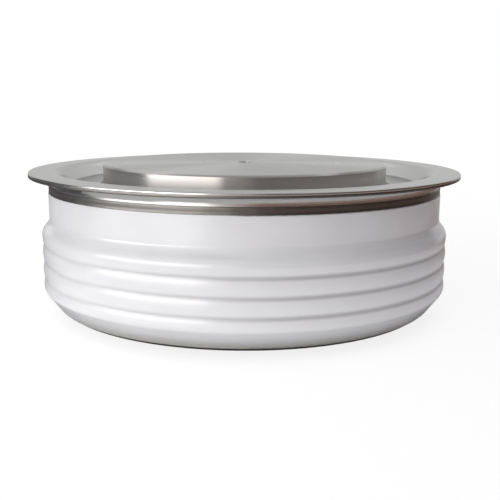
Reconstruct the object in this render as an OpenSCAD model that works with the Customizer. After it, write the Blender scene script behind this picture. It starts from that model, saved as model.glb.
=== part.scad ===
// Disc (press-pack) thyristor cell: two nickel-plated copper poles and the silicon stack between
// them, sealed in a ribbed alumina ring by thin sheet flanges that are welded at the outer rim.
// Origin: centre of the anode contact face. +Z runs to the cathode face, +Y to the gate terminal.
// All lengths are in millimetres.

/* [Overall] */
// Diameter of the welded rim, the widest part of the cell
rim_d = 75; // [73:0.5:90]
// Height from the anode contact face to the cathode contact face
total_h = 26; // [25:0.1:32]
// Diameter of the two contact faces
pole_d = 50; // [40:0.5:52]
// Height of the cathode face above the top of the rim
pole_rise = 1.1; // [0.6:0.1:1.5]

/* [Ceramic ring] */
// Overhang of the rim beyond the plain band of the ceramic
rim_overhang = 3.2; // [2.6:0.1:4]
// Height of the ribs above the plain band
rib_rise = 1.3; // [1:0.05:1.5]
// Distance from one rib to the next
rib_pitch = 2.9; // [2.4:0.1:3.5]
// Radius of the broad, nearly flat crest of a rib
crest_r = 4.5; // [3.5:0.5:5]
// Radius above the top crest, where the ribs end and the surface falls to the plain band
end_r = 2; // [1.8:0.1:2.4]
// Radius below the lowest crest, the shoulder, where the surface turns into the taper
shoulder_r = 1.2; // [0.9:0.1:1.5]
// Number of ribs, the tapered shoulder counted
rib_count = 4; // [3:1:4]
// Height of the lower end of the ceramic above the anode face
ceramic_base = 1.8; // [1.4:0.1:2.2]
// Height of the lowest crest above the lower end of the ceramic
shoulder_h = 3.7; // [3.2:0.1:4.2]
// Inset of the lower end face of the ceramic from the rib crests
shoulder_inset = 3; // [2.6:0.1:3.4]
// Radius of the rounding between the taper and the lower end face
foot_round = 1; // [0.6:0.1:1.2]
// Wall thickness of the ceramic in the plain band
band_wall = 4.6; // [4.2:0.1:5]
// Radius of the soft bottom of a groove
groove_r = 0.5; // [0.3:0.1:1]
// Radius of the hollow where the top rib runs out into the plain band
flare_r = 2; // [1.5:0.1:2.5]

/* [Flanges] */
// Thickness of the flange sheets
sheet_t = 0.4; // [0.3:0.05:0.5]
// Width of the flat rim outside the recess
rim_width = 6; // [5.5:0.1:6.5]
// Depth of the recess around the cathode pole
recess_depth = 2.4; // [1.8:0.1:3]
// Gap between the floor of the recess and the foot of the ring under it
floor_clear = 0.15; // [0.1:0.05:0.4]
// Radius of the hollow curve under the rim
neck_curve = 1.2; // [0.8:0.1:1.3]

/* [Silicon stack] */
// Height of the anode pole up to the face that carries the stack
anode_h = 10; // [8.5:0.1:11.5]
// Thickness of the molybdenum disc that carries the wafer
carrier_t = 2; // [1.5:0.1:2.5]
// Thickness of the silicon wafer
wafer_t = 0.5; // [0.4:0.05:0.8]
// Thickness of the molybdenum disc on the cathode side
pressure_t = 1.2; // [1:0.1:1.6]
// Thickness of the silver foil
foil_t = 0.1; // [0.08:0.02:0.2]

/* [Gate contact] */
// Diameter of the recess for the gate contact in the cathode pole
gate_bore_d = 10; // [9:0.5:12]
// Depth of the same recess
gate_bore_h = 6.9; // [6.5:0.1:8.4]
// Diameter of the gate contact pin
gate_pin_d = 2; // [1.6:0.1:2.2]
// Diameter of the gate wire
wire_d = 0.8; // [0.6:0.1:1]
// Drop from the upper end of the ceramic to the middle of the gate tube
gate_drop = 2.6; // [2.3:0.1:2.9]

/* [Terminals] */
// Width of the gate terminal
gate_tab_w = 2.8; // [2.4:0.1:3.2]
// Width of the cathode terminal
cathode_tab_w = 4.8; // [4:0.1:5.6]
// Thickness of both terminals
blade_t = 0.5; // [0.4:0.1:0.8]
// Angle between the two terminals, seen from above
tab_angle = 16; // [12:1:30]
// Reach of both terminals beyond the rim
tab_reach = 9.5; // [6:0.5:12]

/* [Locating holes] */
// Diameter of the locating hole in the middle of each contact face
dowel_d = 2.2; // [2:0.1:3.5]
// Depth of each locating hole
dowel_h = 2; // [1.5:0.1:2.5]

/* [Hidden] */
$fn = 128;
// Play of a brazed joint and of a loose fit
braze_gap = 0.05;
slide_gap = 0.1;
// Bevel on the edges of the turned and pressed pieces
edge_break = 0.3;
// Cuts run this far past the faces that they open
past = 1;
// The blend circles dip this far into the surfaces they join, so that each meets them at a true edge
blend_dip = 0.01;

// Radii and heights of the ceramic ring
rim_r = rim_d / 2;
pole_r = pole_d / 2;
band_r = rim_r - rim_overhang;
rib_r = band_r + rib_rise;
bore_r = band_r - band_wall;
foot_r = rib_r - shoulder_inset;
rim_z = total_h - pole_rise;
recess_z = rim_z - recess_depth;
ceramic_top = recess_z - 2 * sheet_t - floor_clear;
crest_z = ceramic_base + shoulder_h;
// Centre of a rounding of radius r that touches the crest of rib i from inside; rib 0 is the shoulder
function rib_mid(i, r) = [rib_r - r, crest_z + i * rib_pitch];

// Sheet flanges: the neck stands just inside the band, and the hollow curve ends above the heel
neck_inset = 0.1;
neck_r = band_r - neck_inset;
heel_inside = 0.3;
heel_r = heel_inside + sheet_t;
rim_low = rim_z - 2 * sheet_t;
curve_r = min(neck_curve, rim_low - ceramic_top - heel_r - blend_dip);
foot_setback = 1;
flange_inset = 0.3;
lip_r = rim_r - rim_width;
bend_r = 0.8;
rim_round = 0.2;

// Poles: each has a collar wider than its contact face that carries its flange
collar_step = 1.2;
collar_r = pole_r + collar_step;
gap = bore_r - collar_r;
neck_h = 2;
boss_h = 1.2;
bead_clear = 0.35;
bead_out = gap / 2 - bead_clear;

// Stack: heights from the anode up, and radii from the contact face
carrier_z = anode_h;
wafer_z = carrier_z + carrier_t;
pressure_z = wafer_z + wafer_t;
foil_z = pressure_z + pressure_t;
cathode_z = foil_z + foil_t;
carrier_over = 0.5;
carrier_r = pole_r + carrier_over;
wafer_under = 0.2;
wafer_r = pole_r - wafer_under;
bevel = 0.5;
pressure_inset = 1.5;
pressure_r = pole_r - pressure_inset;
rubber_t = 0.4;
rubber_lap = 0.9;
rubber_bevel = 0.2;

// Centring ring: rise above the wafer, and the funnel that guides the carrier in
ring_rise = 1.6;
funnel = [0.7, 0.7];

// Gate contact
gate_bore_r = gate_bore_d / 2;
cup_r = gate_bore_r - slide_gap;
cup_wall = 1;
cup_in_r = cup_r - cup_wall;
cup_floor = 1;
pin_r = gate_pin_d / 2;
tip_edge = [0.3, 0.4];
pin_travel = 0.5;
guide_r = pin_r + slide_gap;
guide_wall = 1.8;
cap_t = 0.5;
cap_z = cathode_z + gate_bore_h - cap_t;
head_clear = 0.9;
head_r = cup_in_r - head_clear;
head_t = 1;
head_z = foil_z + cup_floor + pin_travel;

// Disc springs around the stem of the pin; each has its own node, so their number is fixed
spring_count = 4;
spring_t = 0.4;
spring_play = 0.3;
spring_clear = 0.7;
stem_r = 1.2;
spring_in = stem_r + spring_play;
spring_out = cup_in_r - spring_clear;
spring_z = head_z + head_t;
spring_pitch = (cap_z - spring_z) / spring_count;

// Gate wire and its way out through the ceramic
wire_r = wire_d / 2;
wire_grip = 1.2;
wire_play = 0.15;
lead_z = head_z + head_t / 2;
rise_y = collar_r + gap / 2;
gate_z = ceramic_top - gate_drop;
sleeve_wall = 0.45;
sleeve_in = wire_r + slide_gap;
sleeve_out = sleeve_in + sleeve_wall;
slot_clear = 0.55;
slot_w = 2 * (sleeve_out + slot_clear);
slot_top = lead_z + sleeve_out + slot_clear;
tube_wall = 0.55;
tube_in = wire_r + wire_play;
tube_out = tube_in + tube_wall;
tube_lap = 0.6;
tube_stub = 2.2;
tube_end = band_r + tube_stub;
seal_l = 0.5;
ferrule_wall = 0.6;
ferrule_r = tube_out + ferrule_wall;
ferrule_t = 0.5;
ferrule_inset = 0.8;
ferrule_y = band_r - ferrule_inset;

// Pinched end of the tube and the two blades
crimp_l = 2;
crimp_w = 2.4;
crimp_t = 0.8;
crimp_lap = 0.3;
blade_out = rim_r + tab_reach;
blade_tip = 0.7;
hole_inset = 3.5;
gate_hole_d = 1.3;
cathode_hole_d = 1.6;
joggle = 1.5;

// Rectangle from one corner to the opposite corner
module box2(a, b) {
    translate(a) square([b[0] - a[0], b[1] - a[1]]);
}

// Square of side r on one side of c; sx and sy pick the side
module quarter2(c, r, sx, sy) {
    box2([min(c[0], c[0] + sx * r), min(c[1], c[1] + sy * r)],
         [max(c[0], c[0] + sx * r), max(c[1], c[1] + sy * r)]);
}

// One quarter of a flat ring around c; sx and sy pick the quarter
module bend2(c, r_in, r_out, sx, sy) {
    intersection() {
        difference() {
            translate(c) circle(r_out);
            translate(c) circle(r_in);
        }
        quarter2(c, r_out, sx, sy);
    }
}

// What a rounded outer corner loses; c is the centre of the rounding
module corner2(c, r, sx, sy) {
    difference() {
        quarter2(c, r + past, sx, sy);
        translate(c) circle(r);
    }
}

// Rod along Y at x = 0, from y0 to y1
module rod_y(r, y0, y1, z) {
    translate([0, y0, z]) rotate([-90, 0, 0]) cylinder(r = r, h = y1 - y0);
}

// Copper pole on the anode side: contact face, collar and the raised neck under the wafer carrier
module anode_pole() {
    neck_z = anode_h - neck_h;
    color([0.74, 0.73, 0.70]) difference() {
        rotate_extrude() polygon([
            [0, 0], [pole_r - edge_break, 0], [pole_r, edge_break], [pole_r, ceramic_base],
            [collar_r, ceramic_base], [collar_r, neck_z - edge_break],
            [collar_r - edge_break, neck_z], [pole_r, neck_z],
            [pole_r, anode_h - edge_break], [pole_r - edge_break, anode_h], [0, anode_h]
        ]);
        translate([0, 0, -past]) cylinder(d = dowel_d, h = dowel_h + past);
    }
}

// Sheet ring under the ceramic with a hollow bead between the pole's collar and the ceramic
module anode_flange() {
    bead = [collar_r + gap / 2, ceramic_base - sheet_t];
    color([0.66, 0.65, 0.62]) rotate_extrude() {
        box2([pole_r + braze_gap, bead[1]], [bead[0] - bead_out + sheet_t, ceramic_base]);
        box2([bead[0] + bead_out - sheet_t, bead[1]], [foot_r - flange_inset, ceramic_base]);
        bend2(bead, bead_out - sheet_t, bead_out, -1, 1);
        bend2(bead, bead_out - sheet_t, bead_out, 1, 1);
    }
}

// Body of the ceramic from the crest of rib i - 1 to the crest of rib i, with the groove's soft bottom
module soft_groove(i) {
    a = rib_mid(i - 1, crest_r);
    b = rib_mid(i, crest_r);
    reach = crest_r + groove_r - blend_dip;
    middle = (a + b) / 2 + [sqrt(pow(reach, 2) - pow(rib_pitch / 2, 2)), 0];
    difference() {
        union() {
            polygon([[bore_r, a[1]], a, middle, b, [bore_r, b[1]]]);
            intersection() {
                union() {
                    translate(a) circle(crest_r);
                    translate(b) circle(crest_r);
                }
                box2([bore_r, a[1]], [rib_r + past, b[1]]);
            }
        }
        translate(middle) circle(groove_r);
    }
}

// Body of the ceramic above the top crest, with the hollow that runs out into the plain band
module soft_flare() {
    a = rib_mid(rib_count - 1, end_r);
    reach = flare_r - blend_dip;
    across = band_r + reach - a[0];
    middle = [a[0] + across, a[1] + sqrt(pow(end_r + reach, 2) - pow(across, 2))];
    difference() {
        union() {
            polygon([[bore_r, a[1]], a, middle, [bore_r, middle[1]]]);
            quarter_disc(a, end_r, 1);
        }
        translate(middle) circle(flare_r);
    }
}

// Outer quarter of a disc of radius r around c, above c with sy = 1 and below it with sy = -1
module quarter_disc(c, r, sy) {
    intersection() {
        translate(c) circle(r);
        quarter2(c, r, 1, sy);
    }
}

// Shoulder: crest, taper and rounded foot; n points square to the taper that touches both circles
module shoulder() {
    crest = rib_mid(0, shoulder_r);
    foot = [foot_r, ceramic_base + foot_round];
    up = crest - foot;
    turn = atan2(up[1], up[0]) - acos((foot_round - shoulder_r) / norm(up));
    n = [cos(turn), sin(turn)];
    quarter_disc(crest, shoulder_r, -1);
    translate(foot) circle(foot_round);
    polygon([
        [bore_r, foot[1]], foot, foot + (foot_round - blend_dip) * n,
        crest + (shoulder_r - blend_dip) * n, crest, [bore_r, crest[1]]
    ]);
}

// Alumina ring: plain band above, broad ribs below, tapered shoulder with a rounded foot
module ceramic_housing() {
    color([0.93, 0.93, 0.94]) difference() {
        rotate_extrude() difference() {
            union() {
                box2([bore_r, ceramic_base], [foot_r, crest_z]);
                box2([bore_r, crest_z], [band_r, ceramic_top]);
                shoulder();
                for (i = [1 : rib_count - 1]) soft_groove(i);
                soft_flare();
            }
            corner2([band_r - edge_break, ceramic_top - edge_break], edge_break, 1, 1);
        }
        rod_y(tube_out + braze_gap, bore_r - past, rib_r + past, gate_z);
        rod_y(ferrule_r + braze_gap, ferrule_y, rib_r + past, gate_z);
    }
}

// Formed sheet ring on top of the ceramic: foot, wall, hollow curve and the lower half of the rim
module weld_ring() {
    curve = [neck_r + curve_r, rim_low - curve_r];
    heel = [neck_r - heel_r, ceramic_top + heel_r];
    color([0.70, 0.68, 0.65]) rotate_extrude() difference() {
        union() {
            box2([curve[0], rim_low], [rim_r, rim_z - sheet_t]);
            bend2(curve, curve_r, curve_r + sheet_t, -1, 1);
            box2([neck_r - sheet_t, heel[1]], [neck_r, curve[1]]);
            bend2(heel, heel_inside, heel_r, 1, -1);
            box2([bore_r + foot_setback, ceramic_top], [heel[0], ceramic_top + sheet_t]);
        }
        corner2([rim_r - rim_round, rim_low + rim_round], rim_round, 1, -1);
    }
}

// Formed sheet lid: upper half of the rim, wall and floor of the recess around the cathode pole
module cathode_flange() {
    lip = [lip_r + bend_r, rim_z - bend_r];
    toe = [lip_r - bend_r, recess_z + bend_r];
    color([0.74, 0.73, 0.71]) rotate_extrude() difference() {
        union() {
            box2([lip[0], rim_z - sheet_t], [rim_r, rim_z]);
            bend2(lip, bend_r - sheet_t, bend_r, -1, 1);
            box2([lip_r, toe[1]], [lip_r + sheet_t, lip[1]]);
            bend2(toe, bend_r, bend_r + sheet_t, 1, -1);
            box2([pole_r + braze_gap, recess_z - sheet_t], [toe[0], recess_z]);
        }
        corner2([rim_r - rim_round, rim_z - rim_round], rim_round, 1, 1);
    }
}

// Copper pole on the cathode side, with the recess and the slot for the gate contact
module cathode_pole() {
    seat_z = recess_z - sheet_t;
    step_z = cathode_z + boss_h;
    color([0.76, 0.75, 0.72]) difference() {
        rotate_extrude() polygon([
            [0, cathode_z], [pressure_r - edge_break, cathode_z], [pressure_r, cathode_z + edge_break],
            [pressure_r, step_z], [collar_r - edge_break, step_z], [collar_r, step_z + edge_break],
            [collar_r, seat_z], [pole_r, seat_z],
            [pole_r, total_h - edge_break], [pole_r - edge_break, total_h], [0, total_h]
        ]);
        translate([0, 0, total_h - dowel_h]) cylinder(d = dowel_d, h = dowel_h + past);
        translate([0, 0, cathode_z - past]) cylinder(r = gate_bore_r, h = gate_bore_h + past);
        translate([-slot_w / 2, 0, cathode_z - past])
            cube([slot_w, collar_r + past, slot_top - cathode_z + past]);
    }
}

// Molybdenum disc that the wafer is alloyed to
module carrier_disc() {
    color([0.55, 0.55, 0.57]) translate([0, 0, carrier_z])
        cylinder(r = carrier_r, h = carrier_t);
}

// Silicon wafer with its bevelled edge
module silicon_wafer() {
    color([0.30, 0.31, 0.35]) translate([0, 0, wafer_z])
        cylinder(r1 = wafer_r, r2 = wafer_r - bevel, h = wafer_t);
}

// Rubber that seals the bevel of the wafer
module edge_rubber() {
    outer = carrier_r - rubber_bevel;
    top = pressure_z + rubber_t;
    color([0.62, 0.20, 0.16]) rotate_extrude() polygon([
        [wafer_r, wafer_z], [outer, wafer_z], [outer, top - rubber_bevel],
        [outer - rubber_bevel, top], [wafer_r - rubber_lap, top],
        [wafer_r - rubber_lap, pressure_z], [wafer_r - bevel, pressure_z]
    ]);
}

// Plastic ring that stands on the anode collar and centres the wafer carrier in the ceramic
module centring_ring() {
    low = anode_h - neck_h;
    inner = carrier_r + slide_gap;
    outer = bore_r - slide_gap;
    top = pressure_z + ring_rise;
    color([0.90, 0.90, 0.86]) rotate_extrude() polygon([
        [pole_r + slide_gap, low], [outer, low],
        [outer, top - edge_break], [outer - edge_break, top],
        [inner + funnel[0], top], [inner, top - funnel[1]],
        [inner, anode_h], [pole_r + slide_gap, anode_h]
    ]);
}

// Molybdenum disc between the wafer and the cathode pole
module pressure_disc() {
    color([0.58, 0.58, 0.60]) translate([0, 0, pressure_z]) difference() {
        cylinder(r = pressure_r, h = pressure_t);
        translate([0, 0, -past]) cylinder(r = guide_r + guide_wall + slide_gap, h = pressure_t + 2 * past);
    }
}

// Silver foil that evens out the pressure under the cathode pole
module contact_foil() {
    color([0.85, 0.85, 0.86]) translate([0, 0, foil_z]) difference() {
        cylinder(r = pressure_r, h = foil_t);
        translate([0, 0, -past]) cylinder(r = gate_bore_r, h = foil_t + 2 * past);
    }
}

// Insulating cup that guides the gate contact pin
module gate_cup() {
    guide_low = pressure_z + slide_gap;
    notch_w = 2 * (sleeve_out + slide_gap);
    color([0.93, 0.90, 0.82]) difference() {
        rotate_extrude() polygon([
            [guide_r, guide_low], [guide_r + guide_wall, guide_low],
            [guide_r + guide_wall, foil_z], [cup_r, foil_z], [cup_r, cap_z],
            [cup_in_r, cap_z], [cup_in_r, foil_z + cup_floor], [guide_r, foil_z + cup_floor]
        ]);
        translate([-notch_w / 2, 0, lead_z - sleeve_out])
            cube([notch_w, cup_r + past, cap_z - lead_z + sleeve_out + past]);
    }
}

// Contact pin that the springs press on the middle of the wafer; its stem holds the springs
module gate_pin() {
    tip_z = pressure_z + tip_edge[1];
    stem_top = cap_z - pin_travel;
    color([0.80, 0.78, 0.72]) difference() {
        union() {
            translate([0, 0, pressure_z]) cylinder(r1 = pin_r - tip_edge[0], r2 = pin_r, h = tip_edge[1]);
            translate([0, 0, tip_z]) cylinder(r = pin_r, h = head_z - tip_z);
            translate([0, 0, head_z]) cylinder(r = head_r, h = head_t);
            translate([0, 0, spring_z]) cylinder(r = stem_r, h = stem_top - spring_z);
        }
        rod_y(wire_r, head_r - wire_grip, head_r + past, lead_z);
    }
}

// One disc spring; every second one lies the other way up
module disc_spring(i) {
    z0 = spring_z + i * spring_pitch;
    rise = spring_pitch - spring_t;
    inner = (i % 2 == 0) ? 0 : rise;
    outer = rise - inner;
    color([0.62, 0.62, 0.64]) rotate_extrude() polygon([
        [spring_in, z0 + inner], [spring_out, z0 + outer],
        [spring_out, z0 + outer + spring_t], [spring_in, z0 + inner + spring_t]
    ]);
}

module gate_spring_1() {
    disc_spring(0);
}

module gate_spring_2() {
    disc_spring(1);
}

module gate_spring_3() {
    disc_spring(2);
}

module gate_spring_4() {
    disc_spring(3);
}

// Insulating disc between the springs and the copper
module gate_cap() {
    color([0.92, 0.89, 0.80]) translate([0, 0, cap_z]) cylinder(r = cup_r, h = cap_t);
}

// Wire from the contact pin through the slot, up beside the pole and into the tube
module gate_lead() {
    color([0.80, 0.78, 0.74]) union() {
        rod_y(wire_r, head_r - wire_grip, rise_y, lead_z);
        translate([0, rise_y, lead_z]) sphere(wire_r);
        translate([0, rise_y, lead_z]) cylinder(r = wire_r, h = gate_z - lead_z);
        translate([0, rise_y, gate_z]) sphere(wire_r);
        rod_y(wire_r, rise_y, tube_end - seal_l - slide_gap, gate_z);
    }
}

// Insulating sleeve on the wire where it runs in the slot
module lead_sleeve() {
    color([0.94, 0.94, 0.92]) difference() {
        rod_y(sleeve_out, cup_in_r, collar_r, lead_z);
        rod_y(sleeve_in, cup_in_r - past, collar_r + past, lead_z);
    }
}

// Washer brazed into the ceramic around the tube
module gate_ferrule() {
    color([0.72, 0.70, 0.66]) difference() {
        rod_y(ferrule_r, ferrule_y, ferrule_y + ferrule_t, gate_z);
        rod_y(tube_out + braze_gap, ferrule_y - past, ferrule_y + ferrule_t + past, gate_z);
    }
}

// Tube through the ceramic, pinched flat and sealed at its outer end
module gate_tube() {
    color([0.72, 0.71, 0.68]) difference() {
        union() {
            rod_y(tube_out, bore_r - tube_lap, tube_end, gate_z);
            translate([-crimp_w / 2, tube_end - crimp_lap, gate_z - crimp_t / 2])
                cube([crimp_w, crimp_l + crimp_lap, crimp_t]);
        }
        rod_y(tube_in, bore_r - tube_lap - past, tube_end - seal_l, gate_z);
    }
}

// Flat push-on blade along Y with a bevelled tip and a locking hole
module blade(w, y0, hole_d) {
    half = w / 2;
    linear_extrude(blade_t) difference() {
        polygon([
            [-half, y0], [half, y0], [half, blade_out - blade_tip], [half - blade_tip, blade_out],
            [-half + blade_tip, blade_out], [-half, blade_out - blade_tip]
        ]);
        translate([0, blade_out - hole_inset]) circle(d = hole_d);
    }
}

// Gate terminal, welded on the pinched end of the tube
module gate_tab() {
    color([0.78, 0.76, 0.70]) translate([0, 0, gate_z + crimp_t / 2])
        blade(gate_tab_w, tube_end + slide_gap, gate_hole_d);
}

// Cathode terminal, joggled and welded under the rim, for the return of the gate circuit
module cathode_tab() {
    top = rim_low - blade_t;
    inner = neck_r + curve_r + slide_gap;
    half = cathode_tab_w / 2;
    color([0.78, 0.76, 0.70]) rotate([0, 0, -tab_angle]) union() {
        translate([-half, inner, top]) cube([cathode_tab_w, rim_r + blade_t - inner, blade_t]);
        translate([-half, rim_r, top - joggle]) cube([cathode_tab_w, blade_t, joggle + blade_t]);
        translate([0, 0, top - joggle]) blade(cathode_tab_w, rim_r, cathode_hole_d);
    }
}

anode_pole();
anode_flange();
ceramic_housing();
weld_ring();
cathode_flange();
cathode_pole();
carrier_disc();
silicon_wafer();
edge_rubber();
centring_ring();
pressure_disc();
contact_foil();
gate_cup();
gate_pin();
gate_spring_1();
gate_spring_2();
gate_spring_3();
gate_spring_4();
gate_cap();
gate_lead();
lead_sleeve();
gate_ferrule();
gate_tube();
gate_tab();
cathode_tab();
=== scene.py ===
"""Looks of a disc thyristor cell, in the order in which the cell is put together.
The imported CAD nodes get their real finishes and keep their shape, all but the lid. Its softer bends, and the
brazed, soldered and welded seams, are made here."""

import bmesh
import bpy
import numpy as np
from mathutils import Matrix, Vector


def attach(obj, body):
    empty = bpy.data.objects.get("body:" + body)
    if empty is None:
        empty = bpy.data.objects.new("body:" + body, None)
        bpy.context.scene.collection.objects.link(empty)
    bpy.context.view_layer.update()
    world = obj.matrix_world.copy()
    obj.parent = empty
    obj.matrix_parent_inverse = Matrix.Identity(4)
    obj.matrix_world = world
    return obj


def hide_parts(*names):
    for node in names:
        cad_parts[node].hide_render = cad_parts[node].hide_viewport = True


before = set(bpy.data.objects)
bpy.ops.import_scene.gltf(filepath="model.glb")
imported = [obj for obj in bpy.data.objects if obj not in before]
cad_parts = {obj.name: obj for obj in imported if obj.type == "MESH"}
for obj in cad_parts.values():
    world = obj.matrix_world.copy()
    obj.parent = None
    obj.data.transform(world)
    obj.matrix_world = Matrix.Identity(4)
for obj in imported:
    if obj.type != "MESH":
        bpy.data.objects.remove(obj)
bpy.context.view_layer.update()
scene = bpy.context.scene
MM = 0.001

# Camera: 140 mm in front of the cell's axis and a little above its upper face, looking slightly down.
# Its place, tilt and lens come from fitting the ellipses of the rim and the contact face to their sizes.
camera_place = Vector((1.015, -140.0, 37.234)) * MM
look_down = np.radians(11.027)
lean = np.radians(0.297)
lens = bpy.data.cameras.new("camera")
lens.sensor_width = 36.0
lens.lens = 56.12
lens.clip_start = 0.01
lens.clip_end = 20.0
camera = bpy.data.objects.new("camera", lens)
camera.matrix_world = (
    Matrix.Translation(camera_place)
    @ Matrix.Rotation(np.pi / 2 - look_down, 4, "X")
    @ Matrix.Rotation(lean, 4, "Z")
)
scene.collection.objects.link(camera)
scene.camera = camera
scene.view_settings.view_transform = "Standard"


# Studio: white surroundings, two soft boxes in front, a pale floor, and cards that stand for what was around
# the cell in the photograph. The camera doesn't see the cards. All but one of them show only in the metal
# and the glaze; that one shades only matt surfaces.
def colour(code):
    """Linear colour of an sRGB hex code: a straight piece near black and a power of 2.4 above it."""
    value = np.array([int(code[i:i + 2], 16) for i in (1, 3, 5)]) / 255
    linear = np.where(value <= 0.04045, value / 12.92, ((value + 0.055) / 1.055) ** 2.4)
    return (*linear.tolist(), 1.0)


def node(tree, kind, sockets=None, **settings):
    """Adds a node with its settings; sockets gives each input a value or the output that feeds it."""
    made = tree.nodes.new("ShaderNode" + kind)
    for name, value in settings.items():
        setattr(made, name, value)
    for key, value in (sockets or {}).items():
        if isinstance(value, bpy.types.NodeSocket):
            tree.links.new(value, made.inputs[key])
        else:
            made.inputs[key].default_value = value
    return made


def empty_tree(owner):
    """The cleared node tree of a material or of the world."""
    owner.use_nodes = True
    owner.node_tree.nodes.clear()
    return owner.node_tree


def grid_piece(name, points, material, round_rows=False, round_columns=False):
    """Makes an object from a grid of points in mm (rows, columns, xyz), with one quad between each four
    neighbours. A rounded direction also joins its last row or column to the first."""
    rows, columns = points.shape[:2]
    down = np.arange(rows if round_rows else rows - 1)
    across = np.arange(columns if round_columns else columns - 1)
    i, j = (part.ravel() for part in np.meshgrid(down, across, indexing="ij"))
    i_next, j_next = (i + 1) % rows, (j + 1) % columns
    quads = np.stack(
        [i * columns + j, i * columns + j_next, i_next * columns + j_next, i_next * columns + j], axis=1
    )
    mesh = bpy.data.meshes.new(name)
    mesh.from_pydata((points.reshape(-1, 3) * MM).tolist(), [], quads.tolist())
    mesh.polygons.foreach_set("use_smooth", np.ones(len(quads), bool))
    mesh.materials.append(material)
    made = bpy.data.objects.new(name, mesh)
    scene.collection.objects.link(made)
    return made


def seen_directly(tree):
    """1 for rays that show the surroundings as a picture (camera, gloss, glass), 0 for diffuse light."""
    rays = node(tree, "LightPath").outputs
    gloss = node(tree, "Math", {0: rays["Is Camera Ray"], 1: rays["Is Glossy Ray"]}, operation="MAXIMUM")
    direct = node(tree, "Math", {0: gloss.outputs[0], 1: rays["Is Transmission Ray"]}, operation="MAXIMUM")
    return direct.outputs[0]


world_level = 0.5
world = bpy.data.worlds.new("white_studio")
scene.world = world
tree = empty_tree(world)
strength = node(
    tree, "MapRange", {"Value": seen_directly(tree), "To Min": world_level, "To Max": 1.0}
).outputs[0]
sky = node(tree, "Background", {"Color": (1.0, 1.0, 1.0, 1.0), "Strength": strength})
node(tree, "OutputWorld", {"Surface": sky.outputs[0]})

# To the camera the paper glows a little and keeps the cell's shadow, then fades to plain white
floor_glow = 0.84
floor_shade = 0.25
fade_start, fade_end = 70 * MM, 220 * MM
floor_paper = bpy.data.materials.new("white_paper_floor")
tree = empty_tree(floor_paper)
place = node(tree, "TexCoord").outputs["Object"]
away = node(tree, "VectorMath", {0: place}, operation="LENGTH").outputs["Value"]
far = node(tree, "MapRange", {"Value": away, "From Min": fade_start, "From Max": fade_end}).outputs[0]
glow = node(tree, "Emission", {"Color": colour("#ffffff"), "Strength": floor_glow})
shade = node(tree, "BsdfDiffuse", {"Color": (floor_shade, floor_shade, floor_shade, 1.0)})
near_look = node(tree, "AddShader", {0: glow.outputs[0], 1: shade.outputs[0]})
white = node(tree, "Emission", {"Color": colour("#ffffff"), "Strength": 1.0})
shown = node(tree, "MixShader", {0: far, 1: near_look.outputs[0], 2: white.outputs[0]})
# To other rays the paper under the cell's overhang is darkened with painted shade, and beside it the paper
# also glows a little on matt surfaces, a painted light that lights the ribs from below
under_cell, beside_cell = 36 * MM, 41 * MM
shine_full, shine_end, shine_strength = 52 * MM, 58 * MM, 0.75
from_overhang = {"Value": away, "From Min": under_cell, "From Max": beside_cell}
open_paper = node(tree, "MapRange", from_overhang).outputs[0]
paper_with_painted_shade = node(tree, "Mix", {0: open_paper, 6: colour("#8c8c8c"), 7: colour("#f4f4f4")}, data_type="RGBA")
paper = node(tree, "BsdfDiffuse", {"Color": paper_with_painted_shade.outputs[2]})
rays = node(tree, "LightPath").outputs
near_cell = {"Value": away, "From Min": shine_end, "From Max": shine_full, "To Max": shine_strength}
shine = node(tree, "MapRange", near_cell).outputs[0]
shine_ring = node(tree, "Math", {0: shine, 1: open_paper}, operation="MULTIPLY").outputs[0]
for_matt = node(tree, "Math", {0: shine_ring, 1: rays["Is Diffuse Ray"]}, operation="MULTIPLY").outputs[0]
bounce = node(tree, "Emission", {"Color": colour("#ffffff"), "Strength": for_matt})
bright_paper = node(tree, "AddShader", {0: paper.outputs[0], 1: bounce.outputs[0]})
both = node(tree, "MixShader", {0: rays["Is Camera Ray"], 1: bright_paper.outputs[0], 2: shown.outputs[0]})
node(tree, "OutputMaterial", {"Surface": both.outputs[0]})
# The floor lies just below the anode face
floor_height = -0.02
reach = np.linspace(-1500.0, 1500.0, 7)
across, along = np.meshgrid(reach, reach)
floor_grid = np.stack([across, along, np.full_like(across, floor_height)], axis=2)
floor = grid_piece("floor", floor_grid, floor_paper)


def card(name, profile, azimuths, first_tone, last_tone, strength=1.0, seen_by="gloss"):
    """A glowing card around the cell's axis: the (radius, height) points of its profile, in mm, are swept
    between two azimuths, in degrees from the camera's side towards the right. Its colour runs from first_tone
    at the first azimuth to last_tone at the last. It shows in reflections if it is seen by gloss, and lights
    or darkens matt surfaces if seen by matt."""
    steps = 33
    turn = np.radians(np.linspace(*azimuths, steps))
    radius, height = np.array(profile, float).T[:, :, None]
    material = bpy.data.materials.new(name)
    tree = empty_tree(material)
    position = node(tree, "Attribute", attribute_name="share").outputs["Fac"]
    tone = node(tree, "Mix", {0: position, 6: colour(first_tone), 7: colour(last_tone)}, data_type="RGBA")
    light = node(tree, "Emission", {"Color": tone.outputs[2], "Strength": strength})
    node(tree, "OutputMaterial", {"Surface": light.outputs[0]})
    points = np.stack([radius * np.sin(turn), -radius * np.cos(turn), height + 0 * turn], axis=2)
    made = grid_piece(name, points, material)
    share = np.tile(np.linspace(0, 1, steps), len(profile))
    made.data.attributes.new("share", "FLOAT", "POINT").data.foreach_set("value", share)
    made.visible_camera = False
    made.visible_shadow = False
    made.visible_glossy = seen_by == "gloss"
    made.visible_diffuse = seen_by == "matt"


# Brown low on the right, with plain grey above it and a paler brown on the table
card("card_right", [(190, 0), (190, 50)], (7, 122), "#4a1c10", "#50261a")
card("card_right_high", [(190, 50), (190, 220)], (7, 122), "#7c7876", "#868483")
card("card_right_low", [(70, 1), (190, 3)], (4, 135), "#a78e84", "#8c786f")
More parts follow.
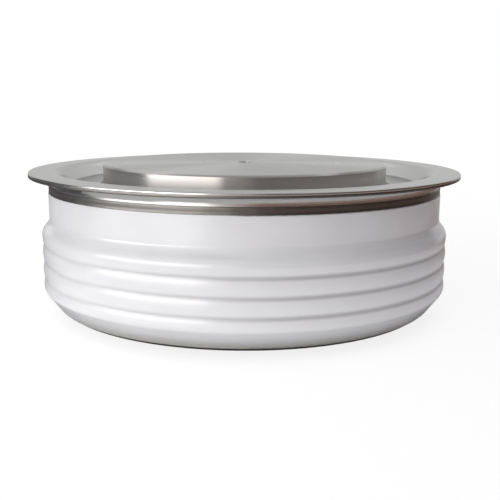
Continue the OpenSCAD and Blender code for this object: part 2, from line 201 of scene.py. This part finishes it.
# Light to brown in the middle of the front
card("card_front", [(90, 1), (195, 2), (195, 50)], (-17, 8), "#f6eee6", "#86584a")
card("card_front_high", [(195, 50), (195, 160)], (-17, 8), "#e6e4e2", "#a09a98")
# A low window in front on the left, with its sill and its glare on the table: the light patches on the metal
card("card_glare_low", [(165, 1), (200, 2)], (-75, -17), "#ffffff", "#fffaf4", strength=1.4)
card("card_glare", [(200, 2), (200, 20)], (-75, -17), "#ffffff", "#fffcf8", strength=3.1)
card("card_glare_near", [(80, 1), (165, 1)], (-38, -15), "#ffffff", "#fff4ea", strength=2.1)
card("card_window", [(201, 20), (201, 60)], (-75, -17), "#ffffff", "#fffaf4", strength=7.5)
# Darker greys on the left, and pale grey behind and overhead
card("card_left", [(200, 12), (200, 120)], (-130, -80), "#636367", "#6a6a6e")
card("card_left_low", [(150, 5), (200, 12)], (-150, -80), "#454549", "#626266")
card("card_left_strip", [(105, 3), (150, 5)], (-150, -80), "#a4a4a8", "#8a8a8e")
card("card_left_near", [(43, 1), (105, 3)], (-150, -80), "#77777b", "#4c4c50")
card("card_back", [(260, 0), (260, 200)], (118, 242), "#e9e9e9", "#e9e9e9")
card("card_above", [(0.1, 520), (330, 520)], (-180, 180), "#b8b8b8", "#b8b8b8")
# A grey screen keeps light off the right side
card("card_shade", [(192, 0), (192, 220)], (7, 110), "#6b6165", "#6b6165", seen_by="matt")


cell_middle = Vector((0.0, 0.0, 15.0)) * MM


def soft_box(name, azimuth, distance, centre_height, width, height, radiance):
    """A rectangular lamp that faces the cell and isn't mirrored in it. Its power in watts is radiance times
    pi times its area."""
    lamp = bpy.data.lights.new(name, "AREA")
    lamp.shape = "RECTANGLE"
    lamp.size, lamp.size_y = width * MM, height * MM
    lamp.energy = radiance * np.pi * lamp.size * lamp.size_y
    made = bpy.data.objects.new(name, lamp)
    turn = np.radians(azimuth)
    place = Vector((distance * np.sin(turn), -distance * np.cos(turn), centre_height)) * MM
    made.location = place
    made.rotation_mode = "QUATERNION"
    made.rotation_quaternion = (place - cell_middle).to_track_quat("Z", "Y")
    made.visible_glossy = False
    scene.collection.objects.link(made)


soft_box("key_soft_box", azimuth=-52, distance=450, centre_height=115, width=460, height=230, radiance=2.1)
soft_box("fill_soft_box", azimuth=-15, distance=430, centre_height=300, width=450, height=270, radiance=1.65)

# Anode pole: turned from one piece of copper, nickel-plated, with a collar that carries its flange.
# The wafer carrier lies on its raised neck; only its end shows, under the ceramic.
# Turned nickel plate gives a satin grey with very fine rings, which draw each reflection out across them.
turned_nickel = bpy.data.materials.new("turned_nickel_plate")
tree = empty_tree(turned_nickel)
place = node(tree, "TexCoord").outputs["Object"]
parts = node(tree, "SeparateXYZ", {0: place}).outputs
flat = node(tree, "CombineXYZ", {0: parts[0], 1: parts[1]}).outputs[0]
radius = node(tree, "VectorMath", {0: flat}, operation="LENGTH").outputs["Value"]
heading = node(tree, "VectorMath", {0: flat}, operation="NORMALIZE").outputs[0]
path = node(tree, "Math", {0: radius, 1: parts[2]}, operation="ADD").outputs[0]
# Tool marks 0.1 mm apart on the real face, drawn 0.3 mm apart so that they show. They change slowly round
# the ring, as a noise does on a circle of radius 1.5
mark_spacing, mark_circle = 0.3 * MM, 1.5
ring = node(tree, "Math", {0: path, 1: 1 / mark_spacing}, operation="MULTIPLY").outputs[0]
along_ring = node(tree, "VectorMath", {0: heading, "Scale": mark_circle}, operation="SCALE").outputs[0]
offset = node(tree, "CombineXYZ", {2: ring}).outputs[0]
mark_place = node(tree, "VectorMath", {0: along_ring, 1: offset}, operation="ADD").outputs[0]
marks = node(tree, "TexNoise", {"Vector": mark_place, "Scale": 1.0, "Detail": 2.0}).outputs[0]
# Handling haze in patches about 15 mm wide
haze = node(tree, "TexNoise", {"Vector": place, "Scale": 1 / (15 * MM), "Detail": 4.0}).outputs[0]
faced = node(tree, "Mix", {0: haze, 6: colour("#c1c1c0"), 7: colour("#cdcdcc")}, data_type="RGBA").outputs[2]
# The side, which no heat sink rubs bright, has gone a little darker. It starts at the face's edge
face_radius = 25.0 * MM
near_edge = {"Value": radius, "From Min": face_radius - 0.3 * MM, "From Max": face_radius - 0.1 * MM}
on_side = node(tree, "MapRange", near_edge).outputs[0]
tone = node(tree, "Mix", {0: on_side, 6: faced, 7: colour("#b7b4b2")}, data_type="RGBA").outputs[2]
rough_marks = node(tree, "MapRange", {"Value": marks, "To Min": -0.04, "To Max": 0.04}).outputs[0]
rough_haze = node(tree, "MapRange", {"Value": haze, "To Min": 0.26, "To Max": 0.32}).outputs[0]
rough = node(tree, "Math", {0: rough_marks, 1: rough_haze}, operation="ADD").outputs[0]
relief = node(tree, "Bump", {"Strength": 0.12, "Distance": 0.01 * MM, "Height": marks}).outputs[0]
# The tool marks run round the axis, so the tangent does too and the quarter turn blurs across them
backwards = node(tree, "Math", {0: parts[1], 1: -1.0}, operation="MULTIPLY").outputs[0]
round_axis = node(tree, "CombineXYZ", {0: backwards, 1: parts[0]}).outputs[0]
shader = node(
    tree,
    "BsdfPrincipled",
    {"Base Color": tone, "Metallic": 1.0, "Roughness": rough, "Specular Tint": colour("#dededc"),
     "Normal": relief, "Anisotropic": 0.9, "Anisotropic Rotation": 0.25, "Tangent": round_axis},
)
node(tree, "OutputMaterial", {"Surface": shader.outputs[0]})


def dress(material, *names):
    """Gives CAD nodes their finish, in the object's own material slots."""
    for name in names:
        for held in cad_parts[name].material_slots:
            held.material = material


dress(turned_nickel, "anode_pole")

# Anode flange: a pressed ring of nickel-iron sheet with a hollow bead, brazed to the pole's collar
# and to the lower end of the ceramic.
# Satin nickel on rolled sheet mirrors softly, with a faint waviness left by the forming. The lower
# sheet's cut edge at the rim, under the weld, is dull and carries painted shade, the rim's shadow line.
satin_sheet = bpy.data.materials.new("satin_nickel_sheet")
tree = empty_tree(satin_sheet)
place = node(tree, "TexCoord").outputs["Object"]
# Waves of the formed sheet, about 9 mm long and a few thousandths of a millimetre high
waves = node(tree, "TexNoise", {"Vector": place, "Scale": 1 / (9 * MM), "Detail": 1.0}).outputs[0]
# The plating's grain is finer than 0.1 mm on the real sheet, and drawn 0.4 mm wide so that it shows
grain = node(tree, "TexNoise", {"Vector": place, "Scale": 1 / (0.4 * MM), "Detail": 3.0}).outputs[0]
# Handling haze in patches about 12 mm wide
haze = node(tree, "TexNoise", {"Vector": place, "Scale": 1 / (12 * MM), "Detail": 4.0}).outputs[0]
clean = node(tree, "Mix", {0: haze, 6: colour("#c2c2c1"), 7: colour("#cececd")}, data_type="RGBA").outputs[2]
satin = node(tree, "MapRange", {"Value": haze, "To Min": 0.16, "To Max": 0.24}).outputs[0]
parts = node(tree, "SeparateXYZ", {0: place}).outputs
flat = node(tree, "CombineXYZ", {0: parts[0], 1: parts[1]}).outputs[0]
radius = node(tree, "VectorMath", {0: flat}, operation="LENGTH").outputs["Value"]
edge_start, edge_full = 37.2 * MM, 37.35 * MM
upper_sheet, lower_sheet = 24.55 * MM, 24.45 * MM
at_edge = node(tree, "MapRange", {"Value": radius, "From Min": edge_start, "From Max": edge_full}).outputs[0]
downwards = {"Value": parts[2], "From Min": upper_sheet, "From Max": lower_sheet}
lower = node(tree, "MapRange", downwards).outputs[0]
# Painted shade on the lower sheet's edge under the weld, which is also made rougher
rough_and_shaded_edge = node(tree, "Math", {0: at_edge, 1: lower}, operation="MULTIPLY").outputs[0]
tone = node(tree, "Mix", {0: rough_and_shaded_edge, 6: clean, 7: colour("#75716e")}, data_type="RGBA").outputs[2]
rough = node(tree, "Mix", {0: rough_and_shaded_edge, 2: satin, 3: 0.42}).outputs[0]
wave_relief = node(tree, "Bump", {"Strength": 0.1, "Distance": 0.04 * MM, "Height": waves}).outputs[0]
# The thin rim is also slightly dinged at its edge, every 10 mm or so
dings = node(tree, "TexNoise", {"Vector": flat, "Scale": 1 / (10 * MM), "Detail": 1.0}).outputs[0]
edge_dings = node(tree, "Math", {0: dings, 1: at_edge}, operation="MULTIPLY").outputs[0]
ding_relief = node(
    tree, "Bump", {"Strength": 1.0, "Distance": 0.025 * MM, "Height": edge_dings, "Normal": wave_relief}
).outputs[0]
relief = node(
    tree, "Bump", {"Strength": 0.06, "Distance": 0.004 * MM, "Height": grain, "Normal": ding_relief}
).outputs[0]
shader = node(
    tree,
    "BsdfPrincipled",
    {"Base Color": tone, "Metallic": 1.0, "Roughness": rough, "Specular Tint": colour("#dededc"),
     "Normal": relief},
)
node(tree, "OutputMaterial", {"Surface": shader.outputs[0]})
dress(satin_sheet, "anode_flange")

# Braze is a silver-copper alloy, nickel-plated with the rest: dull, darker grey and slightly lumpy
braze_metal = bpy.data.materials.new("nickelled_braze")
tree = empty_tree(braze_metal)
place = node(tree, "TexCoord").outputs["Object"]
lumps = node(tree, "TexNoise", {"Vector": place, "Scale": 1 / (1.5 * MM), "Detail": 3.0}).outputs[0]
tone = node(tree, "Mix", {0: lumps, 6: colour("#696764"), 7: colour("#777572")}, data_type="RGBA").outputs[2]
rough = node(tree, "MapRange", {"Value": lumps, "To Min": 0.34, "To Max": 0.5}).outputs[0]
relief = node(tree, "Bump", {"Strength": 0.3, "Distance": 0.03 * MM, "Height": lumps}).outputs[0]
shader = node(
    tree, "BsdfPrincipled", {"Base Color": tone, "Metallic": 1.0, "Roughness": rough, "Normal": relief}
)
node(tree, "OutputMaterial", {"Surface": shader.outputs[0]})


def round_piece(name, outline, material, wave_height=0.0, waves=0, steps=720, lying_at=None):
    """A piece of one section once round the axis. The section is the outline of (radius, height) points in
    mm, clockwise as seen with the radius to the right. Its radius swells by wave_height times a sine, waves
    to a turn. With lying_at, the axis lies along +Y at that height, and the heights run along the axis."""
    turn = np.linspace(0, 2 * np.pi, steps, endpoint=False)[:, None]
    radius, height = np.array(outline, float).T
    reach = radius + wave_height * np.sin(waves * turn)
    points = np.stack([reach * np.cos(turn), reach * np.sin(turn), height + 0 * turn], axis=2)
    if lying_at is not None:
        points = points[:, :, [0, 2, 1]] * [1, 1, -1] + [0, 0, lying_at]
    made = grid_piece(name, points, material, round_rows=True, round_columns=True)
    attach(made, "root")
    return made


# Fillet where the flange's outer edge meets the ceramic's ground end
anode_braze = [(32.28, 1.83), (32.57, 1.82), (32.43, 1.73), (32.35, 1.61), (32.31, 1.46), (32.28, 1.46)]
round_piece("anode_flange_braze", anode_braze, braze_metal, wave_height=0.012, waves=41)
# Fillet where its inner edge meets the pole, under the collar
collar_braze = [(24.98, 1.45), (25.45, 1.43), (25.25, 1.36), (25.12, 1.25), (25.0, 1.06), (24.98, 1.06)]
round_piece("collar_braze", collar_braze, braze_metal, wave_height=0.01, waves=33)

# Ceramic housing: a pressed and fired alumina ring with ground ends, glazed white on the outside.
# Its foot stays unglazed, where the anode flange is brazed on.
# The glaze is a cool white with a soft gloss, slight mottling and a few dark specks. Painted shade darkens the
# grooves, fainter on the left, and greys the matt foot.
glazed_alumina = bpy.data.materials.new("glazed_alumina")
tree = empty_tree(glazed_alumina)
place = node(tree, "TexCoord").outputs["Object"]
parts = node(tree, "SeparateXYZ", {0: place}).outputs
height = parts[2]
mottle = node(tree, "TexNoise", {"Vector": place, "Scale": 1 / (7 * MM), "Detail": 3.0}).outputs[0]
glazes = {0: mottle, 6: colour("#dcdce0"), 7: colour("#e8e8ea")}
glaze = node(tree, "Mix", glazes, data_type="RGBA").outputs[2]
# Iron specks of 0.2 mm radius, one in about every sixth cell of 7 mm
speck_cell, speck_radius, speck_share = 7 * MM, 0.21 * MM, 0.16
cells = node(tree, "TexVoronoi", {"Vector": place, "Scale": 1 / speck_cell}).outputs
in_speck = {0: cells["Distance"], 1: speck_radius / speck_cell}
near = node(tree, "Math", in_speck, operation="LESS_THAN").outputs[0]
lot = node(tree, "SeparateXYZ", {0: cells["Color"]}).outputs[0]
picked = node(tree, "Math", {0: lot, 1: speck_share}, operation="LESS_THAN").outputs[0]
speck = node(tree, "Math", {0: near, 1: picked}, operation="MULTIPLY").outputs[0]
specked = node(tree, "Mix", {0: speck, 6: glaze, 7: colour("#8f8a86")}, data_type="RGBA").outputs[2]
# Painted shade: a soft grey line in the bottom of each of the three grooves between the ribs
lowest_crest, rib_pitch, grooves = 5.5 * MM, 2.9 * MM, 3
above_crest = node(tree, "Math", {0: height, 1: lowest_crest}, operation="SUBTRACT").outputs[0]
ribs_up = node(tree, "Math", {0: above_crest, 1: rib_pitch}, operation="DIVIDE").outputs[0]
along_rib = node(tree, "Math", {0: ribs_up}, operation="FRACT").outputs[0]
from_groove = node(tree, "Math", {0: along_rib, 1: 0.5}, operation="SUBTRACT").outputs[0]
off_groove = node(tree, "Math", {0: from_groove}, operation="ABSOLUTE").outputs[0]
groove_shade_reach = {"Value": off_groove, "From Min": 0.22, "From Max": 0.0}
groove_shade = node(tree, "MapRange", groove_shade_reach, interpolation_type="SMOOTHSTEP").outputs[0]
over_first = node(tree, "Math", {0: ribs_up, 1: 0.0}, operation="GREATER_THAN").outputs[0]
under_last = node(tree, "Math", {0: ribs_up, 1: float(grooves)}, operation="LESS_THAN").outputs[0]
ribbed = node(tree, "Math", {0: over_first, 1: under_last}, operation="MULTIPLY").outputs[0]
in_groove = node(tree, "Math", {0: groove_shade, 1: ribbed}, operation="MULTIPLY").outputs[0]
# The painted groove shade is faint on the left, the lit side, and full from the middle rightwards
faint_shade_end, full_shade_start, faint_shade_share = -28 * MM, 8 * MM, 0.3
across_cell = {"Value": parts[0], "From Min": faint_shade_end, "From Max": full_shade_start, "To Min": faint_shade_share}
shade_across = node(tree, "MapRange", across_cell).outputs[0]
groove_painted_shade = node(tree, "Math", {0: in_groove, 1: shade_across}, operation="MULTIPLY").outputs[0]
glaze_with_groove_shade = node(tree, "Mix", {0: groove_painted_shade, 6: specked, 7: colour("#bab9ba")}, data_type="RGBA").outputs[2]
# About 1 mm above the foot, along a slightly wavy line, the glaze gives way to a matt foot, greyed with
# painted shade
waver = node(tree, "TexNoise", {"Vector": place, "Scale": 1 / (5 * MM)}).outputs[0]
edge = node(tree, "MapRange", {"Value": waver, "To Min": 2.6 * MM, "To Max": 3.2 * MM}).outputs[0]
above = node(tree, "Math", {0: height, 1: edge}, operation="SUBTRACT").outputs[0]
foot = node(tree, "MapRange", {"Value": above, "From Min": 0.7 * MM, "From Max": -0.5 * MM}).outputs[0]
tone = node(tree, "Mix", {0: foot, 6: glaze_with_groove_shade, 7: colour("#c6c5c1")}, data_type="RGBA").outputs[2]
rough = node(tree, "MapRange", {"Value": foot, "To Min": 0.22, "To Max": 0.7}).outputs[0]
# A fired glaze is slightly uneven, like the peel of an orange, every 2 mm or so
peel = node(tree, "TexNoise", {"Vector": place, "Scale": 1 / (1.8 * MM), "Detail": 2.0}).outputs[0]
relief = node(tree, "Bump", {"Strength": 0.2, "Distance": 0.02 * MM, "Height": peel}).outputs[0]
shader = node(
    tree, "BsdfPrincipled", {"Base Color": tone, "Roughness": rough, "IOR": 1.52, "Normal": relief}
)
node(tree, "OutputMaterial", {"Surface": shader.outputs[0]})
dress(glazed_alumina, "ceramic_housing")

# Silicon stack: a lapped molybdenum carrier, the wafer alloyed onto it, a cast rubber seal on the
# wafer's bevelled edge and a turned plastic ring that centres them.
# Lapped molybdenum is a dull, dark grey metal with an even, directionless grain. The grain of the real
# metal is finer than 0.1 mm, and is drawn 0.3 mm wide so that it shows.
lapped_molybdenum = bpy.data.materials.new("lapped_molybdenum")
tree = empty_tree(lapped_molybdenum)
place = node(tree, "TexCoord").outputs["Object"]
grain = node(tree, "TexNoise", {"Vector": place, "Scale": 1 / (0.3 * MM), "Detail": 4.0}).outputs[0]
tone = node(tree, "Mix", {0: grain, 6: colour("#8b8b90"), 7: colour("#9b9ba0")}, data_type="RGBA").outputs[2]
relief = node(tree, "Bump", {"Strength": 0.3, "Distance": 0.01 * MM, "Height": grain}).outputs[0]
shader = node(
    tree, "BsdfPrincipled", {"Base Color": tone, "Metallic": 1.0, "Roughness": 0.45, "Normal": relief}
)
node(tree, "OutputMaterial", {"Surface": shader.outputs[0]})
dress(lapped_molybdenum, "carrier_disc", "pressure_disc")

# Etched silicon is a dark, bluish mirror with faint cloudy patches
etched_silicon = bpy.data.materials.new("etched_silicon")
tree = empty_tree(etched_silicon)
place = node(tree, "TexCoord").outputs["Object"]
cloud = node(tree, "TexNoise", {"Vector": place, "Scale": 1 / (4 * MM), "Detail": 3.0}).outputs[0]
tone = node(tree, "Mix", {0: cloud, 6: colour("#868893"), 7: colour("#9497a3")}, data_type="RGBA").outputs[2]
rough = node(tree, "MapRange", {"Value": cloud, "To Min": 0.10, "To Max": 0.22}).outputs[0]
shader = node(tree, "BsdfPrincipled", {"Base Color": tone, "Metallic": 1.0, "Roughness": rough})
node(tree, "OutputMaterial", {"Surface": shader.outputs[0]})
dress(etched_silicon, "silicon_wafer")

# Cast silicone rubber is matt red-brown, with a fine skin and tiny pits
cast_rubber = bpy.data.materials.new("cast_silicone_rubber")
tree = empty_tree(cast_rubber)
place = node(tree, "TexCoord").outputs["Object"]
pits = node(tree, "TexNoise", {"Vector": place, "Scale": 1 / (0.5 * MM), "Detail": 3.0}).outputs[0]
tone = node(tree, "Mix", {0: pits, 6: colour("#b96f63"), 7: colour("#c97f72")}, data_type="RGBA").outputs[2]
relief = node(tree, "Bump", {"Strength": 0.4, "Distance": 0.02 * MM, "Height": pits}).outputs[0]
shader = node(
    tree, "BsdfPrincipled", {"Base Color": tone, "Roughness": 0.62, "IOR": 1.41, "Normal": relief}
)
node(tree, "OutputMaterial", {"Surface": shader.outputs[0]})
dress(cast_rubber, "edge_rubber")

# Turned plastic of the fluorocarbon kind is waxy white, with soft tool marks and a little light in it
turned_plastic = bpy.data.materials.new("turned_white_plastic")
tree = empty_tree(turned_plastic)
place = node(tree, "TexCoord").outputs["Object"]
height = node(tree, "SeparateXYZ", {0: place}).outputs[2]
# Tool marks follow the height, 0.25 mm apart
step = node(tree, "Math", {0: height, 1: 2 * np.pi / (0.25 * MM)}, operation="MULTIPLY").outputs[0]
tool = node(tree, "Math", {0: step}, operation="SINE").outputs[0]
cloud = node(tree, "TexNoise", {"Vector": place, "Scale": 1 / (3 * MM)}).outputs[0]
tone = node(tree, "Mix", {0: cloud, 6: colour("#ecebe4"), 7: colour("#f2f1ec")}, data_type="RGBA").outputs[2]
relief = node(tree, "Bump", {"Strength": 0.2, "Distance": 0.01 * MM, "Height": tool}).outputs[0]
shader = node(
    tree,
    "BsdfPrincipled",
    {"Base Color": tone, "Roughness": 0.42, "IOR": 1.38, "Subsurface Weight": 0.1,
     "Subsurface Scale": 0.3 * MM, "Normal": relief},
)
node(tree, "OutputMaterial", {"Surface": shader.outputs[0]})
dress(turned_plastic, "centring_ring")

# Contact foil: a thin annealed silver disc between the molybdenum and the cathode pole.
# Rolled silver is bright and slightly warm, with fine lines along the rolling direction, drawn wider than
# the real ones so that they show.
rolled_silver = bpy.data.materials.new("rolled_silver")
tree = empty_tree(rolled_silver)
place = node(tree, "TexCoord").outputs["Object"]
line_length, line_width = 2.5 * MM, 0.125 * MM
line_scale = (1 / line_length, 1 / line_width, 1 / line_width)
stretched = node(tree, "Mapping", {"Vector": place, "Scale": line_scale}).outputs[0]
lines = node(tree, "TexNoise", {"Vector": stretched, "Scale": 1.0, "Detail": 2.0}).outputs[0]
tone = node(tree, "Mix", {0: lines, 6: colour("#dedcd8"), 7: colour("#eae8e4")}, data_type="RGBA").outputs[2]
rough = node(tree, "MapRange", {"Value": lines, "To Min": 0.2, "To Max": 0.34}).outputs[0]
shader = node(tree, "BsdfPrincipled", {"Base Color": tone, "Metallic": 1.0, "Roughness": rough})
node(tree, "OutputMaterial", {"Surface": shader.outputs[0]})
dress(rolled_silver, "contact_foil")

# Gate contact: a silver pin held down on the wafer's middle by four disc springs, in a plastic cup
# and under a plastic cap, all in the recess of the cathode pole.
dress(turned_plastic, "gate_cup", "gate_cap")
dress(rolled_silver, "gate_pin")
# Tempered spring steel is a dark, oily grey with straw-brown patches from the heat
spring_steel = bpy.data.materials.new("tempered_spring_steel")
tree = empty_tree(spring_steel)
place = node(tree, "TexCoord").outputs["Object"]
heat = node(tree, "TexNoise", {"Vector": place, "Scale": 1 / (1.5 * MM), "Detail": 3.0}).outputs[0]
tone = node(tree, "Mix", {0: heat, 6: colour("#8d8c8f"), 7: colour("#9c948a")}, data_type="RGBA").outputs[2]
shader = node(tree, "BsdfPrincipled", {"Base Color": tone, "Metallic": 1.0, "Roughness": 0.32})
node(tree, "OutputMaterial", {"Surface": shader.outputs[0]})
dress(spring_steel, "gate_spring_1", "gate_spring_2", "gate_spring_3", "gate_spring_4")

# Gate lead: tinned copper wire in a plastic sleeve, out through a slot in the pole and up to the
# gate tube, a tinned tube brazed through the ceramic in a ferrule and pinched at its outer end.
# Tin on copper or brass is a soft, warm silver-grey with slight runs and fine rubbing marks.
tinned_copper = bpy.data.materials.new("tinned_copper")
tree = empty_tree(tinned_copper)
place = node(tree, "TexCoord").outputs["Object"]
runs = node(tree, "TexNoise", {"Vector": place, "Scale": 1 / (2 * MM), "Detail": 4.0}).outputs[0]
rubbed = node(tree, "TexNoise", {"Vector": place, "Scale": 1 / (0.25 * MM), "Detail": 2.0}).outputs[0]
tone = node(tree, "Mix", {0: runs, 6: colour("#b5b3af"), 7: colour("#cdcbc6")}, data_type="RGBA").outputs[2]
rough = node(tree, "MapRange", {"Value": runs, "To Min": 0.24, "To Max": 0.42}).outputs[0]
relief_runs = node(tree, "Bump", {"Strength": 0.3, "Distance": 0.03 * MM, "Height": runs}).outputs[0]
relief = node(
    tree, "Bump", {"Strength": 0.2, "Distance": 0.005 * MM, "Height": rubbed, "Normal": relief_runs}
).outputs[0]
shader = node(
    tree, "BsdfPrincipled", {"Base Color": tone, "Metallic": 1.0, "Roughness": rough, "Normal": relief}
)
node(tree, "OutputMaterial", {"Surface": shader.outputs[0]})
dress(tinned_copper, "gate_lead", "gate_ferrule", "gate_tube", "gate_tab")
dress(turned_plastic, "lead_sleeve")
# Braze round the tube on the ferrule's face, and round the ferrule in its counterbore
gate_height = 18.95
tube_braze = [
    (1.08, 34.42), (1.13, 34.4), (1.2, 34.2), (1.35, 34.08), (1.55, 34.03), (1.55, 33.98), (1.08, 33.98),
]
round_piece(
    "gate_tube_braze", tube_braze, braze_metal,
    wave_height=0.012, waves=5, steps=96, lying_at=gate_height,
)
ferrule_braze = [(1.6, 34.03), (1.7, 34.06), (1.78, 34.03), (1.78, 33.98), (1.6, 33.98)]
round_piece(
    "ferrule_braze", ferrule_braze, braze_metal,
    wave_height=0.008, waves=7, steps=96, lying_at=gate_height,
)


def drop(name, middle, half, material):
    """A drop of solder or weld metal: an ellipsoid with its middle and half sizes in mm, a ball's points
    from pole to pole and round it, each times the half sizes."""
    steps_down, steps_round, merge_within = 12, 24, 1e-7
    rows = np.linspace(0, np.pi, steps_down + 1)
    columns = np.linspace(0, 2 * np.pi, steps_round, endpoint=False)
    down, round_it = np.meshgrid(rows, columns, indexing="ij")
    ball = np.stack([np.sin(down) * np.cos(round_it), np.sin(down) * np.sin(round_it), np.cos(down)], axis=2)
    made = grid_piece(name, middle + ball * half, material, round_columns=True)
    shell = bmesh.new()
    shell.from_mesh(made.data)
    bmesh.ops.remove_doubles(shell, verts=shell.verts, dist=merge_within)
    bmesh.ops.recalc_face_normals(shell, faces=shell.faces)
    shell.to_mesh(made.data)
    shell.free()
    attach(made, "root")


# Solder in the corners between the tube's pinched end and the tab on it
solder_across, solder_out, solder_height, solder_half = 1.24, 37.5, 19.27, [0.13, 0.9, 0.13]
for side, sign in (("left", -1), ("right", 1)):
    solder_middle = [sign * solder_across, solder_out, solder_height]
    drop("gate_solder_" + side, solder_middle, solder_half, tinned_copper)

# Weld ring: formed nickel-iron sheet brazed on top of the ceramic. Its flared edge is the lower half
# of the rim.
dress(satin_sheet, "weld_ring")
# The braze fills the corner under the ring's bend and wets the neck half a millimetre up
neck_braze = [
    (34.1, 22.62), (34.215, 22.6), (34.235, 22.5), (34.24, 22.2), (34.22, 21.95), (34.2, 21.75),
    (34.22, 21.6), (34.27, 21.45), (34.27, 21.4), (34.1, 21.4),
]
round_piece("neck_braze", neck_braze, braze_metal, wave_height=0.008, waves=57)

# Cathode pole: turned from one piece of copper and nickel-plated. The heat sink presses on its upper face,
# which has a small hole in the middle for a locating pin.
dress(turned_nickel, "cathode_pole")

# Cathode flange: the dished lid of nickel-iron sheet, brazed to the cathode pole. Its edge is the
# upper half of the rim, and the tab of the gate circuit's return is welded under it at the back.
# The press rolls the sheet into the recess with soft bends, wider than those of the CAD node it replaces.
sheet, rim_top, recess_floor = 0.4, 24.9, 22.5
hub_edge, rim_edge, edge_round, edge_chamfer = 25.05, 37.5, 0.2, 0.03
rim_flat_end, rim_bend, foot_bend, wall_slope = 33.6, 2.2, 1.0, np.radians(60)
# Both bends turn by the wall's slope, and a straight wall between them makes up the rest of the depth
wall_drop = rim_top - recess_floor - (rim_bend + foot_bend) * (1 - np.cos(wall_slope))
floor_end = rim_flat_end - (rim_bend + foot_bend) * np.sin(wall_slope) - wall_drop / np.tan(wall_slope)
rim_bend_centre = np.array([rim_flat_end, rim_top - rim_bend])
foot_bend_centre = np.array([floor_end, recess_floor + foot_bend])
leaning = np.linspace(0, wall_slope, 13)[:, None]
rising = np.hstack([np.sin(leaning), -np.cos(leaning)])
quarter = np.linspace(np.pi / 2, 0, 7)[:, None]
edge_centre = [rim_edge - edge_round, rim_top - edge_round]
edge_arc = edge_centre + edge_round * np.hstack([np.cos(quarter), np.sin(quarter)])
top_side = np.vstack([
    np.linspace([hub_edge, recess_floor], [floor_end, recess_floor], 10, endpoint=False),
    foot_bend_centre + foot_bend * rising,
    (rim_bend_centre - rim_bend * rising)[::-1],
    np.linspace([rim_flat_end, rim_top], edge_arc[0], 9)[1:-1],
    edge_arc,
])
rim_under, floor_under = rim_top - sheet, recess_floor - sheet
under_side = np.vstack([
    [[rim_edge, rim_under + edge_chamfer], [rim_edge - edge_chamfer, rim_under]],
    np.linspace([rim_edge - edge_round, rim_under], [rim_flat_end, rim_under], 6)[:-1],
    rim_bend_centre - (rim_bend - sheet) * rising,
    (foot_bend_centre + (foot_bend + sheet) * rising)[::-1],
    np.linspace([floor_end, floor_under], [hub_edge, floor_under], 8)[1:],
])
lid_outline = np.vstack([top_side, under_side])
dished_lid = round_piece("dished_cathode_flange", lid_outline, satin_sheet)
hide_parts("cathode_flange")
# Fillet of braze at the foot of the pole, in the recess
pole_braze = [
    (24.98, 22.95), (25.03, 22.93), (25.1, 22.74), (25.22, 22.61), (25.42, 22.53), (25.62, 22.5),
    (25.62, 22.46), (24.98, 22.46),
]
round_piece("pole_braze", pole_braze, braze_metal, wave_height=0.012, waves=37)
# Weld bead that closes the two sheets' edges, in fine overlapping ripples 0.5 mm apart. The arc leaves the
# nickel-iron a dark, brownish grey, half dull.
weld_bead = bpy.data.materials.new("arc_welded_nickel_iron")
tree = empty_tree(weld_bead)
place = node(tree, "TexCoord").outputs["Object"]
tint = node(tree, "TexNoise", {"Vector": place, "Scale": 1 / (3 * MM), "Detail": 2.0}).outputs[0]
tone = node(tree, "Mix", {0: tint, 6: colour("#5a5653"), 7: colour("#6b6763")}, data_type="RGBA").outputs[2]
shader = node(tree, "BsdfPrincipled", {"Base Color": tone, "Metallic": 1.0, "Roughness": 0.42})
node(tree, "OutputMaterial", {"Surface": shader.outputs[0]})
weld_outline = [
    (37.2, 24.62), (37.34, 24.61), (37.4, 24.57), (37.42, 24.5), (37.4, 24.43), (37.34, 24.39), (37.2, 24.38),
]
ripples, steps_each = 470, 6
round_piece(
    "rim_weld", weld_outline, weld_bead,
    wave_height=0.015, waves=ripples, steps=ripples * steps_each,
)
dress(tinned_copper, "cathode_tab")
# Two spot welds through the tab, 16 degrees round from the gate, as shallow nuggets on its underside
tab_turn, tab_under = np.radians(16), 23.6
spot_across, spot_out, nugget_half = 1.1, 36.6, [0.5, 0.5, 0.05]
for side, sign in (("left", -1), ("right", 1)):
    spot_x = sign * spot_across * np.cos(tab_turn) + spot_out * np.sin(tab_turn)
    spot_y = -sign * spot_across * np.sin(tab_turn) + spot_out * np.cos(tab_turn)
    drop("tab_weld_" + side, [spot_x, spot_y, tab_under], nugget_half, weld_bead)
